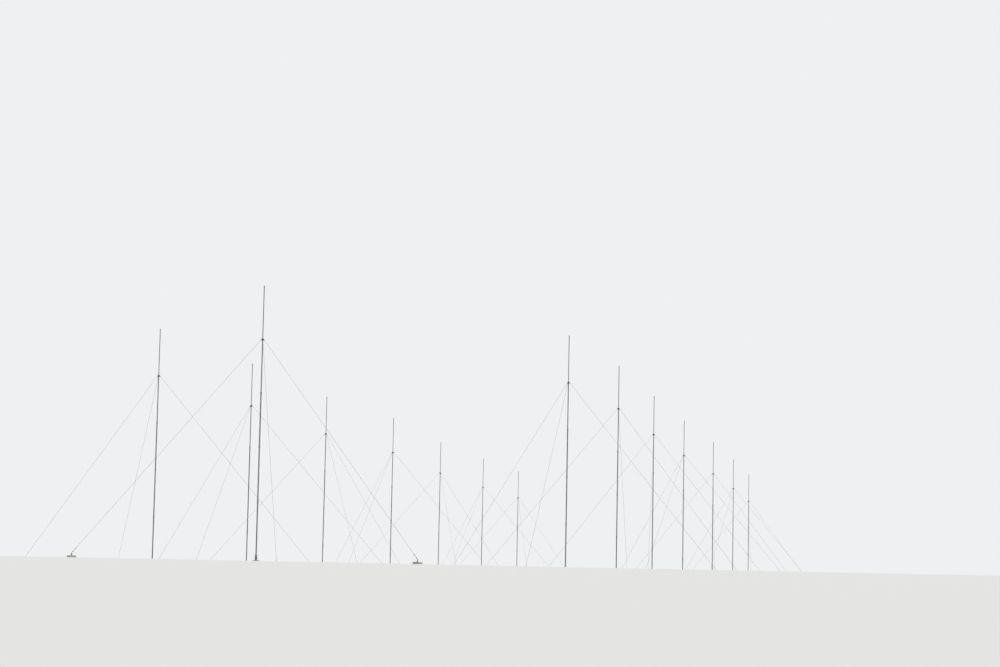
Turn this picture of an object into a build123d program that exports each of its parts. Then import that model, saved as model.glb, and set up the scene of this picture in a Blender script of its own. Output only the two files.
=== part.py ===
from build123d import *
import os
from math import cos, hypot, radians, sin

# Antenna array of guyed monopole masts, a 1:10 model in millimetres, +Z up.
# One lead mast stands ahead of two parallel rows. The origin is on the underside
# of the lead mast's footing, +X runs along the rows and +Y points to the left row.
# The lead mast has every fitting in full. The rows repeat it in plainer pieces.
# Round pieces are prisms of few sides, each with a flat towards +X before it is turned.

# Layout of the masts
masts_per_row = 7
mast_pitch = 2270.0
lead_to_first_row = 1965.0
row_spacing = 2690.0
lead_off_centre = 100.0

# How far each mast stands from its even place, along and across its row, in shares of the pitch
left_row_shifts = (
    (0.007, 0.0),
    (-0.078, -0.016),
    (0.010, 0.011),
    (-0.109, -0.039),
    (0.088, 0.016),
    (0.086, 0.013),
    (-0.060, -0.008),
)
right_row_shifts = (
    (0.182, 0.028),
    (-0.015, -0.007),
    (-0.033, 0.001),
    (-0.046, 0.003),
    (0.007, -0.007),
    (0.013, -0.002),
    (0.039, 0.014),
)

# Angle of the first of the three stays of each mast, from +X
lead_stay_angle = 9.0
left_row_stay_angles = (31.0, 39.0, -5.0, 49.0, -2.0, 47.0, 0.0)
right_row_stay_angles = (56.0, 3.0, 9.0, 46.0, 4.0, 48.0, 2.0)
stays_per_mast = 3

# Footing, plate and insulator
footing_width = 70.0
footing_height = 25.0
footing_chamfer = 2.0
base_plate_width = 36.0
base_plate_thickness = 2.0
insulator_seat_diameter = 15.0
insulator_seat_height = 3.0
insulator_diameter = 11.0
insulator_height = 22.0
skirt_diameter = 19.0
skirt_height = 5.0

# Mast foot
foot_flange_diameter = 17.0
foot_flange_height = 2.0
foot_socket_height = 12.0
foot_socket_wall = 1.3
foot_rib_reach = 2.8
foot_rib_thickness = 0.9
foot_rib_count = 4

# Tubes, counted from the foot, and what joins them
section_length = 304.8
lower_tube_diameter = 7.6
upper_tube_diameter = 6.4
top_tube_diameter = 5.1
sleeve_wall = 1.1
sleeve_chamfer = 0.5
lowest_sleeve_height = 26.0
sleeve_height = 14.0
collar_diameter = 11.0
collar_height = 12.0
collar_chamfer = 0.8
tip_cap_wall = 0.5
tip_cap_depth = 4.0
tip_cap_top = 2.0
fit_clearance = 0.05

# Lugs, forks and pins
lug_thickness = 1.6
lug_width = 3.2
lug_reach = 3.5
pin_diameter = 1.2
pin_overhang = 0.5
fork_clearance = 0.1
fork_arm_thickness = 0.9
fork_width = 3.2
fork_depth = 3.0
fork_length = 4.2

# Stays, sockets and turnbuckles
stay_diameter = 1.0
socket_diameter = 2.8
socket_tip_diameter = 1.5
socket_length = 8.0
rod_diameter = 1.2
rod_end = 4.0
turnbuckle_start = 7.0
turnbuckle_length = 28.0
turnbuckle_width = 4.8
turnbuckle_thickness = 1.7
turnbuckle_bar = 1.0
boss_length = 4.0
boss_diameter = 2.8
stud_show = 3.0

# Anchors
anchor_radius = 1080.0
anchor_pin_height = 14.0
anchor_foot_length = 12.0
anchor_foot_width = 8.0
anchor_foot_thickness = 1.0
anchor_fin_length = 9.0
anchor_block_width = 40.0
anchor_block_height = 20.0
anchor_block_chamfer = 1.5

# Number of sides of the round pieces
lead_sides = 24
fitting_sides = 10
row_sides = 8
row_collar_sides = 9
row_fitting_sides = 6
row_stay_sides = 4

# Levels that follow
plate_level = footing_height
seat_level = plate_level + base_plate_thickness
insulator_level = seat_level + insulator_seat_height
foot_level = insulator_level + insulator_height
tube_level = foot_level + foot_flange_height
socket_top_level = tube_level + foot_socket_height
tube_diameters = (lower_tube_diameter,) * 3 + (upper_tube_diameter, top_tube_diameter)
tube_count = len(tube_diameters)
collar_level = tube_level + (tube_count - 1) * section_length
tip_level = tube_level + tube_count * section_length
sleeve_heights = (lowest_sleeve_height, sleeve_height, sleeve_height)
cap_level = tip_level - tip_cap_depth
cap_diameter = top_tube_diameter + 2 * (fit_clearance + tip_cap_wall)
collar_flat = collar_diameter / 2 * cos(radians(180 / row_collar_sides))

# A stay's line between its pins, in the upright plane through the mast
top_pin = (collar_flat + lug_reach, collar_level)
anchor_pin = (anchor_radius, anchor_block_height + anchor_pin_height)
pin_distance = hypot(anchor_pin[0] - top_pin[0], anchor_pin[1] - top_pin[1])
along = ((anchor_pin[0] - top_pin[0]) / pin_distance, (anchor_pin[1] - top_pin[1]) / pin_distance)
across = (-along[1], along[0])
upper_fitting_length = fork_length + socket_length
turnbuckle_end = turnbuckle_start + turnbuckle_length
lower_socket_start = turnbuckle_end + stud_show
lower_fitting_length = lower_socket_start + socket_length
stay_length = pin_distance - upper_fitting_length - lower_fitting_length
on_top = (Align.CENTER, Align.CENTER, Align.MIN)


def disc(diameter, sides):
    """A face of few sides with a flat towards +X."""
    return RegularPolygon(diameter / 2, sides, rotation=180 / sides)


def rod(level, height, diameter, sides):
    """An upright piece standing on a level."""
    return Pos(0, 0, level) * extrude(disc(diameter, sides), amount=height)


def corners(level, diameter, sides):
    """The corners of such a face at a level."""
    angles = [radians((2 * side + 1) * 180 / sides) for side in range(sides)]
    return [(diameter / 2 * cos(angle), diameter / 2 * sin(angle), level) for angle in angles]


def flat_face(points):
    return Face(Wire.make_polygon(points))


def turned(steps, sides):
    """An upright piece whose flat faces run from step to step of level and diameter."""
    rings = [corners(level, diameter, sides) for level, diameter in steps]
    faces = [flat_face(rings[0]), flat_face(rings[-1])]
    for low, high in zip(rings, rings[1:]):
        for side in range(sides):
            after = (side + 1) % sides
            faces.append(flat_face([low[side], low[after], high[after], high[side]]))
    return Solid(Shell(faces))


def block(width, height):
    return Box(width, width, height, align=on_top)


def chamfered_block(width, height, chamfer_size):
    """A square concrete block with its top edges taken off."""
    return chamfer(block(width, height).faces().sort_by(Axis.Z)[-1].edges(), chamfer_size)


def bar_ahead(start, length, diameter, sides):
    """A bar along +X from a distance in front of the origin."""
    face = Plane(origin=(start, 0, 0), z_dir=(1, 0, 0)) * disc(diameter, sides)
    return extrude(face, amount=length)


def socket_ahead(start):
    """The tapered socket in which a stay's end is held, along +X."""
    wide = Plane(origin=(start, 0, 0), z_dir=(1, 0, 0)) * disc(socket_diameter, fitting_sides)
    end = start + socket_length
    narrow = Plane(origin=(end, 0, 0), z_dir=(1, 0, 0)) * disc(socket_tip_diameter, fitting_sides)
    return loft([wide, narrow])


def upright_plate(sketch, thickness):
    """A plate from a sketch in the upright plane, as thick to both sides."""
    return extrude(Plane.XZ * sketch, amount=thickness / 2, both=True)


def outline_of(points):
    return make_face(Polyline(*points, close=True))


def beside_pin(pin, offset):
    """A point beside a pin, square to the stay."""
    return (pin[0] + across[0] * offset, pin[1] + across[1] * offset)


def down_stay(piece):
    """A piece made along +X, placed at the collar's pin and pointing down the stay."""
    origin = (top_pin[0], 0, top_pin[1])
    x_dir = (along[0], 0, along[1])
    return Plane(origin=origin, x_dir=x_dir, z_dir=(across[0], 0, across[1])) * piece


def up_stay(piece):
    """A piece made along +X, placed at the anchor's pin and pointing up the stay."""
    origin = (anchor_pin[0], 0, anchor_pin[1])
    x_dir = (-along[0], 0, -along[1])
    return Plane(origin=origin, x_dir=x_dir, z_dir=(across[0], 0, across[1])) * piece


def around_mast(piece):
    """One copy of a piece for each stay."""
    return [Rot(0, 0, turn * 360 / stays_per_mast) * piece for turn in range(stays_per_mast)]


def joint_level(number):
    """The level of the joint above the tube of this number, counted from one."""
    return tube_level + number * section_length


# Pieces that the lead mast and the rows have alike


def make_footing():
    return chamfered_block(footing_width, footing_height, footing_chamfer)


def make_base_plate(sides):
    """A square plate with the raised seat of the insulator."""
    plate = Pos(0, 0, plate_level) * block(base_plate_width, base_plate_thickness)
    return plate + rod(seat_level, insulator_seat_height, insulator_seat_diameter, sides)


def make_stay(sides):
    return down_stay(bar_ahead(upper_fitting_length, stay_length, stay_diameter, sides))


# Pieces of the lead mast in full


def lead_insulator():
    """A ceramic post with one sloping rain skirt, hollowed below."""
    skirt_top = insulator_level + insulator_height / 2 + skirt_height / 2
    skirt_low = skirt_top - skirt_height
    lip = skirt_height / 4
    return turned([
        (insulator_level, insulator_diameter),
        (skirt_low + 2 * lip, insulator_diameter),
        (skirt_low, skirt_diameter - 2 * lip),
        (skirt_low + lip, skirt_diameter),
        (skirt_top, insulator_diameter),
        (foot_level, insulator_diameter),
    ], lead_sides)


def lead_foot():
    """A flange with a ribbed socket in which the lowest tube stands."""
    bore = lower_tube_diameter + 2 * fit_clearance
    outside = bore + 2 * foot_socket_wall
    foot = rod(foot_level, foot_flange_height, foot_flange_diameter, lead_sides)
    foot += rod(tube_level, foot_socket_height, outside, lead_sides)
    inner = outside / 2 - foot_socket_wall / 2
    rib = outline_of([
        (inner, tube_level),
        (outside / 2 + foot_rib_reach, tube_level),
        (inner, socket_top_level - foot_socket_wall),
    ])
    plate = upright_plate(rib, foot_rib_thickness)
    for turn in range(foot_rib_count):
        foot += Rot(0, 0, turn * 360 / foot_rib_count) * plate
    return foot - rod(tube_level, foot_socket_height, bore, lead_sides)


def lead_sleeve(level, height, outside, below, above, edge):
    """A sleeve over the ends of two tubes, bored for each and sloped at its ends."""
    low = level - height / 2
    high = level + height / 2
    narrow = outside - 2 * edge
    sleeve = turned([
        (low, narrow),
        (low + edge, outside),
        (high - edge, outside),
        (high, narrow),
    ], lead_sides)
    sleeve -= rod(low, height, above + 2 * fit_clearance, lead_sides)
    if below > above:
        sleeve -= rod(low, height / 2, below + 2 * fit_clearance, lead_sides)
    return sleeve


def lead_couplings():
    couplings = []
    for number, height in enumerate(sleeve_heights, 1):
        below = tube_diameters[number - 1]
        above = tube_diameters[number]
        outside = below + 2 * sleeve_wall
        couplings.append(lead_sleeve(joint_level(number), height, outside, below, above, sleeve_chamfer))
    return couplings


def lead_collar():
    """The stay collar, with a flat for each lug."""
    below = tube_diameters[-2]
    above = tube_diameters[-1]
    collar = lead_sleeve(collar_level, collar_height, collar_diameter, below, above, collar_chamfer)
    beyond = Pos(collar_flat, 0, collar_level) * Box(
        collar_diameter, collar_diameter, collar_height, align=(Align.MIN, Align.CENTER, Align.CENTER)
    )
    for cutter in around_mast(beyond):
        collar -= cutter
    return collar


def pin_hole():
    return disc(pin_diameter + 2 * fit_clearance, fitting_sides)


def lead_collar_lug():
    """A drilled plate on a flat of the collar, round at its pin."""
    half_height = collar_height / 2 - collar_chamfer
    web = outline_of([
        (collar_flat, collar_level + half_height),
        beside_pin(top_pin, lug_width / 2),
        beside_pin(top_pin, -lug_width / 2),
        (collar_flat, collar_level - half_height),
    ])
    lug = web + Pos(*top_pin) * disc(lug_width, fitting_sides)
    return upright_plate(lug - Pos(*top_pin) * pin_hole(), lug_thickness)


def lead_tip_cap():
    """A cup over the end of the top tube, with a sloping edge."""
    bore = top_tube_diameter + 2 * fit_clearance
    cap = turned([
        (cap_level, cap_diameter),
        (tip_level + tip_cap_top / 2, cap_diameter),
        (tip_level + tip_cap_top, cap_diameter - tip_cap_top),
    ], lead_sides)
    return cap - rod(cap_level, tip_cap_depth, bore, lead_sides)


def lead_fork():
    """A fork for a lug of the lug's thickness, with its pin hole at the origin."""
    gap = lug_thickness + 2 * fork_clearance
    cheek = Rectangle(fork_length, fork_width, align=(Align.MIN, Align.CENTER))
    cheek += disc(fork_width, fitting_sides)
    fork = upright_plate(cheek - pin_hole(), gap + 2 * fork_arm_thickness)
    slot = Box(fork_depth + fork_width, gap, fork_width, align=(Align.MIN, Align.CENTER, Align.CENTER))
    return fork - Pos(-fork_width, 0, 0) * slot


def lead_pin():
    """The pin through a fork and its lug."""
    length = lug_thickness + 2 * (fork_clearance + fork_arm_thickness + pin_overhang)
    return upright_plate(disc(pin_diameter, fitting_sides), length)


def lead_turnbuckle_body():
    """Two bars between two bosses, bored for the rods."""
    window_length = turnbuckle_length - 2 * boss_length
    window_width = turnbuckle_width - 2 * turnbuckle_bar
    frame = Rectangle(turnbuckle_length, turnbuckle_width) - Rectangle(window_length, window_width)
    middle = turnbuckle_start + turnbuckle_length / 2
    body = Pos(middle, 0, 0) * upright_plate(frame, turnbuckle_thickness)
    for start in (turnbuckle_start, turnbuckle_end - boss_length):
        body += bar_ahead(start, boss_length, boss_diameter, fitting_sides)
    bore = rod_diameter + 2 * fit_clearance
    return body - bar_ahead(turnbuckle_start, turnbuckle_length, bore, fitting_sides)


def lead_turnbuckle_jaw():
    """The fork at the anchor with its rod in the turnbuckle."""
    reach = turnbuckle_start + boss_length + rod_end - fork_length
    return lead_fork() + bar_ahead(fork_length, reach, rod_diameter, fitting_sides)


def lead_turnbuckle_stud():
    """The rod at the turnbuckle's upper end with the socket of the stay."""
    start = turnbuckle_end - boss_length - rod_end
    rod_in_body = bar_ahead(start, lower_socket_start - start, rod_diameter, fitting_sides)
    return rod_in_body + socket_ahead(lower_socket_start)


def lead_anchor_lug():
    """A drilled fin on a foot plate, on the anchor block."""
    foot_plate = Pos(anchor_radius, 0, anchor_block_height) * Box(
        anchor_foot_length, anchor_foot_width, anchor_foot_thickness, align=on_top
    )
    web = outline_of([
        (anchor_radius - anchor_fin_length / 2, anchor_block_height),
        (anchor_radius + anchor_fin_length / 2, anchor_block_height),
        (anchor_radius + lug_width / 2, anchor_pin[1]),
        (anchor_radius - lug_width / 2, anchor_pin[1]),
    ])
    fin = web + Pos(*anchor_pin) * disc(lug_width, fitting_sides)
    return foot_plate + upright_plate(fin - Pos(*anchor_pin) * pin_hole(), lug_thickness)


def lead_pieces():
    """The solids of the lead mast by node, with the first stay along +X."""
    nodes = {
        "footing": [make_footing()],
        "base_plate": [make_base_plate(lead_sides)],
        "base_insulator": [lead_insulator()],
        "mast_foot": [lead_foot()],
    }
    for number, diameter in enumerate(tube_diameters, 1):
        nodes[f"tube_{number}"] = [rod(joint_level(number - 1), section_length, diameter, lead_sides)]
    pins = around_mast(down_stay(lead_pin())) + around_mast(up_stay(lead_pin()))
    anchor_block = chamfered_block(anchor_block_width, anchor_block_height, anchor_block_chamfer)
    nodes.update({
        "couplings": lead_couplings(),
        "stay_collar": [lead_collar()],
        "collar_lugs": around_mast(lead_collar_lug()),
        "tip_cap": [lead_tip_cap()],
        "stay_forks": around_mast(down_stay(lead_fork() + socket_ahead(fork_length))),
        "fork_pins": pins,
        "stays": around_mast(make_stay(fitting_sides)),
        "turnbuckle_studs": around_mast(up_stay(lead_turnbuckle_stud())),
        "turnbuckle_bodies": around_mast(up_stay(lead_turnbuckle_body())),
        "turnbuckle_jaws": around_mast(up_stay(lead_turnbuckle_jaw())),
        "anchor_lugs": around_mast(lead_anchor_lug()),
        "anchor_blocks": around_mast(Pos(anchor_radius, 0, 0) * anchor_block),
    })
    return nodes


# Pieces of the rows, closed where the lead mast's are bored


def row_insulator():
    """The ceramic post with a plain skirt."""
    middle = insulator_level + insulator_height / 2
    post = rod(insulator_level, insulator_height, insulator_diameter, row_sides)
    return post + rod(middle - skirt_height / 2, skirt_height, skirt_diameter, row_sides)


def row_foot():
    """The flange and its socket, closed, with the tube standing on it."""
    outside = lower_tube_diameter + 2 * (fit_clearance + foot_socket_wall)
    foot = rod(foot_level, foot_flange_height, foot_flange_diameter, row_sides)
    return foot + rod(tube_level, foot_socket_height, outside, row_sides)


def row_tubes():
    """The five tubes, each from the face of the fitting below it to the one above."""
    heights = (*sleeve_heights, collar_height)
    tubes = []
    for number, diameter in enumerate(tube_diameters, 1):
        low = socket_top_level if number == 1 else joint_level(number - 1) + heights[number - 2] / 2
        high = cap_level if number == tube_count else joint_level(number) - heights[number - 1] / 2
        tubes.append(rod(low, high - low, diameter, row_sides))
    return tubes


def row_couplings():
    couplings = []
    for number, height in enumerate(sleeve_heights, 1):
        outside = tube_diameters[number - 1] + 2 * sleeve_wall
        couplings.append(rod(joint_level(number) - height / 2, height, outside, row_sides))
    return couplings


def row_collar():
    return rod(collar_level - collar_height / 2, collar_height, collar_diameter, row_collar_sides)


def row_collar_lug():
    """A lug with its end square to the stay."""
    half_height = collar_height / 2 - collar_chamfer
    return upright_plate(outline_of([
        (collar_flat, collar_level + half_height),
        beside_pin(top_pin, lug_width / 2),
        beside_pin(top_pin, -lug_width / 2),
        (collar_flat, collar_level - half_height),
    ]), lug_thickness)


def row_anchor_lug():
    """A wedge on the anchor block with its face square to the stay."""
    return upright_plate(outline_of([
        (anchor_radius - anchor_foot_length / 2, anchor_block_height),
        (anchor_radius + anchor_foot_length / 2, anchor_block_height),
        beside_pin(anchor_pin, lug_width / 2),
        beside_pin(anchor_pin, -lug_width / 2),
    ]), lug_thickness + 2 * fork_arm_thickness)


def row_stay_fittings():
    """The fork and socket at the top of each stay and the turnbuckle at its foot, each as one bar."""
    upper = bar_ahead(0, upper_fitting_length, socket_diameter, row_fitting_sides)
    lower = bar_ahead(0, lower_fitting_length, boss_diameter, row_fitting_sides)
    return around_mast(down_stay(upper)) + around_mast(up_stay(lower))


def row_pieces():
    """The solids of one mast of a row by node, with the first stay along +X."""
    cap_height = tip_cap_depth + tip_cap_top
    anchor_block = block(anchor_block_width, anchor_block_height)
    return {
        "footings": [make_footing()],
        "base_fittings": [make_base_plate(row_sides), row_foot()],
        "base_insulators": [row_insulator()],
        "tubes": row_tubes(),
        "couplings": row_couplings(),
        "stay_collars": [row_collar()],
        "collar_lugs": around_mast(row_collar_lug()),
        "tip_caps": [rod(cap_level, cap_height, cap_diameter, row_sides)],
        "stays": around_mast(make_stay(row_stay_sides)),
        "stay_fittings": row_stay_fittings(),
        "anchor_lugs": around_mast(row_anchor_lug()),
        "anchor_blocks": around_mast(Pos(anchor_radius, 0, 0) * anchor_block),
    }


def place(node, solid, x, y, angle):
    """A piece at its mast. Footings and bases stay square to the rows, the rest turns with the stays."""
    turn = 0 if node.startswith(("footing", "base")) else angle
    return Pos(x, y, 0) * Rot(0, 0, turn) * solid


def save(name, solids):
    """One node from solids that don't touch each other."""
    shape = solids[0] if len(solids) == 1 else Compound(children=solids)
    export_step(shape, f"parts/{name}.step")


def save_lead_mast():
    for node, solids in lead_pieces().items():
        save(f"lead_{node}", [place(node, solid, 0, 0, lead_stay_angle) for solid in solids])


def save_row(side, row_y, shifts, angles, pieces):
    """A row of masts, with like pieces of all its masts in one node."""
    for node, solids in pieces.items():
        placed = []
        for number in range(masts_per_row):
            along_row, across_row = shifts[number]
            x = lead_to_first_row + (number + along_row) * mast_pitch
            y = row_y + across_row * mast_pitch
            placed += [place(node, solid, x, y, angles[number]) for solid in solids]
        save(f"{side}_row_{node}", placed)


os.makedirs("parts", exist_ok=True)
save_lead_mast()
pieces = row_pieces()
left_y = row_spacing / 2 - lead_off_centre
right_y = -row_spacing / 2 - lead_off_centre
save_row("left", left_y, left_row_shifts, left_row_stay_angles, pieces)
save_row("right", right_y, right_row_shifts, right_row_stay_angles, pieces)
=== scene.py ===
import bpy
import math
from mathutils import Matrix, Vector


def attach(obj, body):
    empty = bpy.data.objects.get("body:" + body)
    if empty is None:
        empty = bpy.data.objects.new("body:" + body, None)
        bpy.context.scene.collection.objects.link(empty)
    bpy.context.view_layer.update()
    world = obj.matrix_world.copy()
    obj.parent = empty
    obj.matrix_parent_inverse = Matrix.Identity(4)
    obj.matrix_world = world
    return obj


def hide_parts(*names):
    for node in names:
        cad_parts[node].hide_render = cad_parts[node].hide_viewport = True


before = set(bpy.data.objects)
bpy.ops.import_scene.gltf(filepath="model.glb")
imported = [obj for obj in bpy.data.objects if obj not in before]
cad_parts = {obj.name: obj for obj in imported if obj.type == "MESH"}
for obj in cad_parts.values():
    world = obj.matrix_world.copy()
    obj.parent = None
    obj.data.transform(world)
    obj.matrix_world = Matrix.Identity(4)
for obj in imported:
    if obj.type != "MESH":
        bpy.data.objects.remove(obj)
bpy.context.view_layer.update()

print("frame loaded with", len(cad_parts), "nodes")

# Pieces are modelled in millimetres round their own origin, then set out on the masts in metres
toMetres = Matrix.Scale(0.001, 4)
tiny = 0.0001  # a length that counts as none

# Where the masts stand, and the turn of each mast's first stay in degrees
layout = {
    "perRow": 7,
    "pitch": 2270,
    "firstMast": 1965,
    "stays": 3,
    "leadTurn": 9,
    "rowTurns": {"left": (31, 39, -5, 49, -2, 47, 0), "right": (56, 3, 9, 46, 4, 48, 2)},
    "rowSides": {"left": 1245, "right": -1445},
    # how far each mast is off its even place, along and across, in shares of the pitch
    "shifts": {
        "left": (
            (0.007, 0), (-0.078, -0.016), (0.010, 0.011), (-0.109, -0.039), (0.088, 0.016),
            (0.086, 0.013), (-0.060, -0.008),
        ),
        "right": (
            (0.182, 0.028), (-0.015, -0.007), (-0.033, 0.001), (-0.046, 0.003), (0.007, -0.007),
            (0.013, -0.002), (0.039, 0.014),
        ),
    },
}

# Heights on a mast, from the ground
levels = {
    "footingTop": 25,
    "plateTop": 27,
    "seatTop": 30,
    "insulatorTop": 52,
    "flangeTop": 54,
    "socketTop": 66,
    "section": 304.8,
    "collar": 54 + 4 * 304.8,
    "tip": 54 + 5 * 304.8,
}

# A stay's line runs from its pin at the collar to its pin at the anchor
stayLine = {
    "collarFlat": 5.5 * math.cos(math.radians(20)),  # a flat reaches 20 degrees to each side
    "lugReach": 3.5, "anchorRadius": 1080, "anchorPin": 34,
}


# Selecting, editing and joining

def deselect():
    bpy.ops.object.select_all(action="DESELECT")


def selectOnly(piece):
    deselect()
    piece.select_set(True)
    bpy.context.view_layer.objects.active = piece


def startEdit(piece, kind="FACE"):
    selectOnly(piece)
    bpy.ops.object.mode_set(mode="EDIT")
    bpy.ops.mesh.select_mode(type=kind)
    bpy.ops.mesh.select_all(action="DESELECT")
    bpy.ops.object.mode_set(mode="OBJECT")


def endEdit():
    bpy.ops.object.mode_set(mode="OBJECT")


def applyPlace(piece):
    selectOnly(piece)
    bpy.ops.object.transform_apply(location=True, rotation=True, scale=True)


def layAlong(piece, axis):
    # a turned piece stands along Z and is laid along X or Y
    if axis == "X":
        piece.matrix_world = Matrix.Rotation(math.radians(90), 4, "Y")
    if axis == "Y":
        piece.matrix_world = Matrix.Rotation(math.radians(-90), 4, "X")
    applyPlace(piece)


def turnPiece(name, steps, sides=32, axis="Z"):
    # a disc whose end face is extruded from step to step of height and radius
    height, radius = steps[0]
    deselect()
    bpy.ops.mesh.primitive_circle_add(
        vertices=sides, radius=radius, fill_type="NGON", location=(0, 0, height)
    )
    piece = bpy.context.object
    piece.name = name
    applyPlace(piece)
    bpy.ops.object.mode_set(mode="EDIT")
    bpy.ops.mesh.select_all(action="SELECT")
    for nextHeight, nextRadius in steps[1:]:
        rise = (0, 0, nextHeight - height)
        bpy.ops.mesh.extrude_region_move(TRANSFORM_OT_translate={"value": rise})
        if nextRadius != radius:
            ratio = nextRadius / radius
            bpy.ops.transform.resize(value=(ratio, ratio, 1), center_override=(0, 0, nextHeight))
        height, radius = nextHeight, nextRadius
    bpy.ops.mesh.select_all(action="SELECT")
    bpy.ops.mesh.normals_make_consistent(inside=False)
    endEdit()
    if axis != "Z":
        layAlong(piece, axis)
    return piece


def lifted(steps, level, up=1):
    # steps of a turned piece from a level, or down from it
    return [(level + up * rise, radius) for rise, radius in steps]


def boxPiece(name, low, high):
    deselect()
    size = [b - a for a, b in zip(low, high)]
    middle = [(a + b) / 2 for a, b in zip(low, high)]
    bpy.ops.mesh.primitive_cube_add(size=1, location=middle, scale=size)
    piece = bpy.context.object
    piece.name = name
    applyPlace(piece)
    return piece


def pickVerts(piece, wanted):
    startEdit(piece, "VERT")
    for vert in piece.data.vertices:
        vert.select = wanted(vert.co)
    bpy.ops.object.mode_set(mode="EDIT")


def pickEdges(piece, wanted):
    startEdit(piece, "EDGE")
    verts = piece.data.vertices
    for edge in piece.data.edges:
        a, b = (verts[i].co for i in edge.vertices)
        edge.select = wanted(a, b)
    bpy.ops.object.mode_set(mode="EDIT")


def resizeWhere(piece, wanted, value, centre):
    pickVerts(piece, wanted)
    bpy.ops.transform.resize(value=value, center_override=centre)
    endEdit()


def roundUprights(piece, radius, segments=3):
    # the upright edges of a plate
    pickEdges(piece, lambda a, b: abs(a.z - b.z) > tiny and (a - b).xy.length < tiny)
    bpy.ops.mesh.bevel(offset=radius, offset_type="OFFSET", segments=segments)
    endEdit()


def soften(piece, width, segments=2, angle=40):
    selectOnly(piece)
    edge = piece.modifiers.new("softEdges", "BEVEL")
    edge.width = width
    edge.segments = segments
    edge.limit_method = "ANGLE"
    edge.angle_limit = math.radians(angle)
    bpy.ops.object.modifier_apply(modifier=edge.name)


def combine(piece, other, operation="DIFFERENCE"):
    selectOnly(piece)
    step = piece.modifiers.new("combine", "BOOLEAN")
    step.operation = operation
    step.solver = "EXACT"
    step.object = other
    bpy.ops.object.modifier_apply(modifier=step.name)
    bpy.data.objects.remove(other)
    return piece


def drill(piece, radius, at, reach=4):
    # a round hole across the piece, along Y
    hole = turnPiece("hole", [(-reach, radius), (reach, radius)], sides=24, axis="Y")
    hole.location = at
    applyPlace(hole)
    return combine(piece, hole)


def addEye(piece, radius, half, at):
    # the round end of a lug or fork
    end = turnPiece("eye", [(-half, radius), (half, radius)], axis="Y")
    end.location = at
    applyPlace(end)
    return combine(piece, end, "UNION")


def smooth(piece, angle=30):
    selectOnly(piece)
    bpy.ops.object.shade_smooth_by_angle(angle=math.radians(angle))
    return piece


def joinPieces(name, pieces):
    deselect()
    for piece in pieces:
        piece.select_set(True)
    bpy.context.view_layer.objects.active = pieces[0]
    bpy.ops.object.join()
    pieces[0].name = name
    return pieces[0]


def copyAt(model, places):
    # each copy has its own mesh
    copies = []
    for place in places:
        copy = bpy.data.objects.new(model.name, model.data.copy())
        bpy.context.scene.collection.objects.link(copy)
        copy.matrix_world = place
        copies.append(copy)
    return copies


def gather(name, model, places):
    # one piece from several copies of a smaller one, which is used up
    piece = joinPieces(name, copyAt(model, places))
    applyPlace(piece)
    bpy.data.objects.remove(model)
    return piece


# Setting out on the masts

def mastPlaces(x, y, turn):
    # footings and bases stand square to the rows, the rest turns with the stays
    spot = Matrix.Translation((x, y, 0))
    return {"square": spot, "turned": spot @ Matrix.Rotation(math.radians(turn), 4, "Z")}


def rowMasts(side):
    masts = []
    for number in range(layout["perRow"]):
        along, across = layout["shifts"][side][number]
        x = layout["firstMast"] + (number + along) * layout["pitch"]
        y = layout["rowSides"][side] + across * layout["pitch"]
        masts.append(mastPlaces(x, y, layout["rowTurns"][side][number]))
    return masts


groups = {
    "lead": [mastPlaces(0, 0, layout["leadTurn"])],
    "leftRow": rowMasts("left"),
    "rightRow": rowMasts("right"),
}
groupNodes = {"lead": "lead_", "leftRow": "left_row_", "rightRow": "right_row_"}


def aroundMast(count, first=0):
    return [Matrix.Rotation(math.radians(first + 360 / count * i), 4, "Z") for i in range(count)]


def outwards(radius, level, bedded=0.08):
    # a place on a round part, with the bolt's axis pointing away from the mast
    spot = Matrix.Translation((radius - bedded, 0, level))
    return spot @ Matrix.Rotation(math.radians(90), 4, "Y")


def stayPlaces():
    # the pin at the collar, looking down the stay, and the pin at the anchor, looking up it
    top = Vector((stayLine["collarFlat"] + stayLine["lugReach"], 0, levels["collar"]))
    foot = Vector((stayLine["anchorRadius"], 0, stayLine["anchorPin"]))
    ahead = (foot - top).normalized()
    side = Vector((0, 1, 0))
    down = Matrix((ahead, side, ahead.cross(side))).transposed().to_4x4()
    up = Matrix((-ahead, -side, ahead.cross(side))).transposed().to_4x4()
    return Matrix.Translation(top) @ down, Matrix.Translation(foot) @ up, (foot - top).length


collarPin, anchorPin, pinDistance = stayPlaces()
stayTurns = aroundMast(layout["stays"])
topPins = [turn @ collarPin for turn in stayTurns]
lowPins = [turn @ anchorPin for turn in stayTurns]
anchorSpots = [turn @ Matrix.Translation((stayLine["anchorRadius"], 0, 0)) for turn in stayTurns]


def setOut(label, model, material, inner=(Matrix(),), how="turned", lead=(), rows=()):
    # one finished piece for the lead mast and one for each row
    for group, masts in groups.items():
        places = [toMetres @ mast[how] @ place for mast in masts for place in inner]
        piece = joinPieces(group + label, copyAt(model, places))
        applyPlace(piece)
        piece.data.materials.clear()
        piece.data.materials.append(material)
        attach(piece, "root")
        nodes = lead if group == "lead" else rows
        if nodes:
            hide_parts(*[groupNodes[group] + node for node in nodes])
    bpy.data.objects.remove(model)
    print("set out", label)


# Effects that the materials share

def makeGroup(name, inputs):
    group = bpy.data.node_groups.new(name, "ShaderNodeTree")
    newSocket = group.interface.new_socket
    newSocket(name="Vector", in_out="INPUT", socket_type="NodeSocketVector")
    for label, value in inputs.items():
        added = newSocket(name=label, in_out="INPUT", socket_type="NodeSocketFloat")
        added.default_value = value
    newSocket(name="Mask", in_out="OUTPUT", socket_type="NodeSocketFloat")
    return group, group.nodes.new("NodeGroupInput"), group.nodes.new("NodeGroupOutput")


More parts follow.
